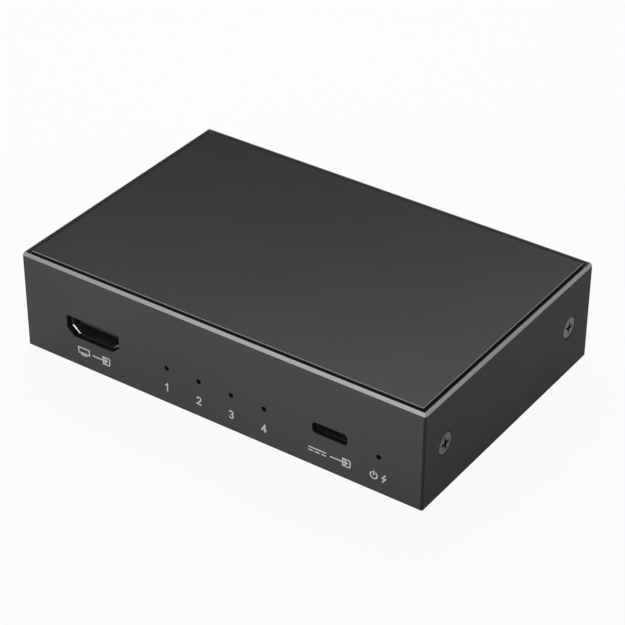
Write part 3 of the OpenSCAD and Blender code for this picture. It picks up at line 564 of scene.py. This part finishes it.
directForm = {
    "long": 0.35,                            # heights of the long bar and the short ones
    "short": -0.45,
    "shortCount": 3,
    "gap": 0.75,                             # between short bars
}


def directCurrentSign(left, wide):           # a long bar over three short ones
    count, gap, low = directForm["shortCount"], directForm["gap"], directForm["short"]
    shortWide = (wide - (count - 1) * gap) / count
    starts = [left + k * (shortWide + gap) for k in range(count)]
    longBar = [(left, directForm["long"]), (left + wide, directForm["long"])]
    return [longBar] + [[(start, low), (start + shortWide, low)] for start in starts]


onForm = {
    "drop": 0.08,                            # the ring lies so much lower and is so much smaller
    "turn": (125, 415),
    "steps": 40,
    "barTop": 0.05,                          # how far the bar stands above the signs' top strokes
    "barEnd": 0.1,
}


def onSign(x):                               # an open ring with a bar in its gap
    ring = arcPoints((x, -onForm["drop"]), half - onForm["drop"], *onForm["turn"], onForm["steps"])
    return [ring, [(x, half + onForm["barTop"]), (x, onForm["barEnd"])]]


boltForm = {
    "end": 0.32,                             # from the middle line to the bolt's ends
    "knee": 0.38,                            # and to its two bends
}


def boltSign(x):                             # a bolt, down to the left, across and down again
    end, knee = boltForm["end"], boltForm["knee"]
    return [[(x + end, half), (x - knee, 0), (x + knee, 0), (x - end, -half)]]


signPlaces = {                               # from the middle of what a sign stands under
    "screen": (-4.6, 3.2),                   # left end and width
    "inputArrow": (-0.3, 4.6),               # left and right end
    "directCurrent": (-5.4, 4.4),            # left end and width
    "powerArrow": (0.3, 5.4),                # left and right end
    "on": -1.15,
    "bolt": 1.45,
}


def centreOf(node):
    low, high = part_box(node)
    return (low.x + high.x) / 2 / mm


for number, strokes in enumerate([digitOne(), digitTwo(), digitThree(), digitFour()], 1):
    addSign("sign_number_%d" % number, centreOf("status_light_%d" % number), strokes)
    addSign("sign_output_%d" % number, centreOf("output_%d_shell" % number), strokes, -1)
addSign("sign_input", centreOf("input_shell"),
        screenSign(*signPlaces["screen"]) + arrowInto(*signPlaces["inputArrow"]))
addSign("sign_power_slot", centreOf("power_inlet_shell"),
        directCurrentSign(*signPlaces["directCurrent"]) + arrowInto(*signPlaces["powerArrow"]))
addSign("sign_power_light", centreOf("power_light"),
        onSign(signPlaces["on"]) + boltSign(signPlaces["bolt"]))
print("signs printed")


# Studio: pale floor that shows off-white to the camera and keeps a soft shadow, with a painted shadow seen
# only in its reflections, even world, soft lamps

studio = {
    "floorSize": 6000,
    "floorRows": 9,                          # points along each side of the floor's grid
    "floorColour": (0.82, 0.82, 0.82),
    "backColour": (0.985, 0.985, 0.985),
    "backShare": 0.94,                       # share of the floor's colour that shadows leave alone
    "glossShare": 0.58,                      # the same share in reflections
    "paintedShadowSpot": (95, -40, 0),              # painted shadow, seen only in reflections: round this spot they show less of the floor's glow
    "paintedShadowReach": 76,
    "paintedShadowShare": 0.0,                        # what is left of it on the spot itself
    "ambient": 0.53,
}

lamps = {
    # brightens the bevel over the front
    "keyBox": {"at": (-201, -545, 240), "aim": (0, -36, 14), "size": (300, 220), "power": 0.29},
    # glows all over the cover
    "topGlow": {"at": (-130, 170, 290), "aim": (0, -20, 26), "size": (417, 89), "power": 0.632},
    # adds a little at the cover's right end
    "rightGlow": {"at": (-100, 400, 290), "aim": (0, -20, 26), "size": (100, 100), "power": 0.044},
    # catches the edge inside the input socket
    "edgeLight": {"at": (86, -473, 211), "aim": (-35, -34, 9), "size": (100, 100), "power": 0.30},
}


def seenRays(tree, glossy):                  # 1 for camera and transmission rays, glossy for reflections
    path = addNode(tree, "ShaderNodeLightPath").outputs
    straight = mathOf(tree, "MAXIMUM", path["Is Camera Ray"], path["Is Transmission Ray"])
    return mathOf(tree, "MAXIMUM", straight, mathOf(tree, "MULTIPLY", path["Is Glossy Ray"], glossy))


def floorFinish():
    material = bpy.data.materials.new("floor")
    tree = emptyTree(material)
    matt = addNode(tree, "ShaderNodeBsdfDiffuse", {"Color": rgba(studio["floorColour"])})
    glow = addNode(tree, "ShaderNodeEmission", {"Color": rgba(studio["backColour"])})
    here = addNode(tree, "ShaderNodeTexCoord").outputs["Object"]
    # painted shadow on the floor near the case's near corner, seen only in reflections
    spot = [value * mm for value in studio["paintedShadowSpot"]]
    away = addNode(tree, "ShaderNodeVectorMath", {0: here, 1: spot}, operation="DISTANCE").outputs["Value"]
    clear = addNode(tree, "ShaderNodeMapRange",
                    {"Value": away, "From Max": studio["paintedShadowReach"] * mm, "To Min": studio["paintedShadowShare"]},
                    interpolation_type="SMOOTHSTEP").outputs[0]
    inGloss = mathOf(tree, "MULTIPLY", clear, studio["glossShare"] / studio["backShare"])
    share = mathOf(tree, "MULTIPLY", seenRays(tree, inGloss), studio["backShare"])
    mix = addNode(tree, "ShaderNodeMixShader", {0: share, 1: matt.outputs[0], 2: glow.outputs[0]})
    addNode(tree, "ShaderNodeOutputMaterial", {"Surface": mix.outputs[0]})
    return material


def addFloor():
    edge = studio["floorSize"] / 2 * mm
    rows = studio["floorRows"]
    across = np.linspace(-edge, edge, rows)
    x, y = np.meshgrid(across, across)       # flat grid: height zero at every x and y
    points = np.stack([x, y, np.zeros_like(x)], axis=2).reshape(-1, 3)
    start = (np.arange(rows - 1)[:, None] * rows + np.arange(rows - 1)).ravel()
    faces = np.stack([start, start + 1, start + rows + 1, start + rows], axis=1)
    mesh = bpy.data.meshes.new("floor")
    mesh.from_pydata(points, [], faces.tolist())
    mesh.materials.append(floorFinish())
    floor = addObject("floor", mesh)


def setWorld():
    world = bpy.data.worlds.new("studioWorld")
    bpy.context.scene.world = world
    tree = emptyTree(world)
    strength = mixNumbers(tree, seenRays(tree, 0.0), studio["ambient"], 1.0)
    back = addNode(tree, "ShaderNodeBackground", {"Color": rgba(studio["backColour"]), "Strength": strength})
    addNode(tree, "ShaderNodeOutputWorld", {"Surface": back.outputs[0]})


def addLamp(name, look):
    data = bpy.data.lights.new(name, "AREA")
    data.shape = "RECTANGLE"
    data.size, data.size_y = (value * mm for value in look["size"])
    data.energy = look["power"]
    lamp = addObject(name, data)
    place, aim = (np.array(look[key]) * mm for key in ("at", "aim"))
    lamp.location = place
    across, along, up = aim - place
    lamp.rotation_euler = (math.atan2(math.hypot(across, along), -up), 0, math.atan2(-across, along))


addFloor()
setWorld()
for name, look in lamps.items():
    addLamp(name, look)
bpy.context.scene.view_settings.view_transform = "Standard"
print("studio lit")
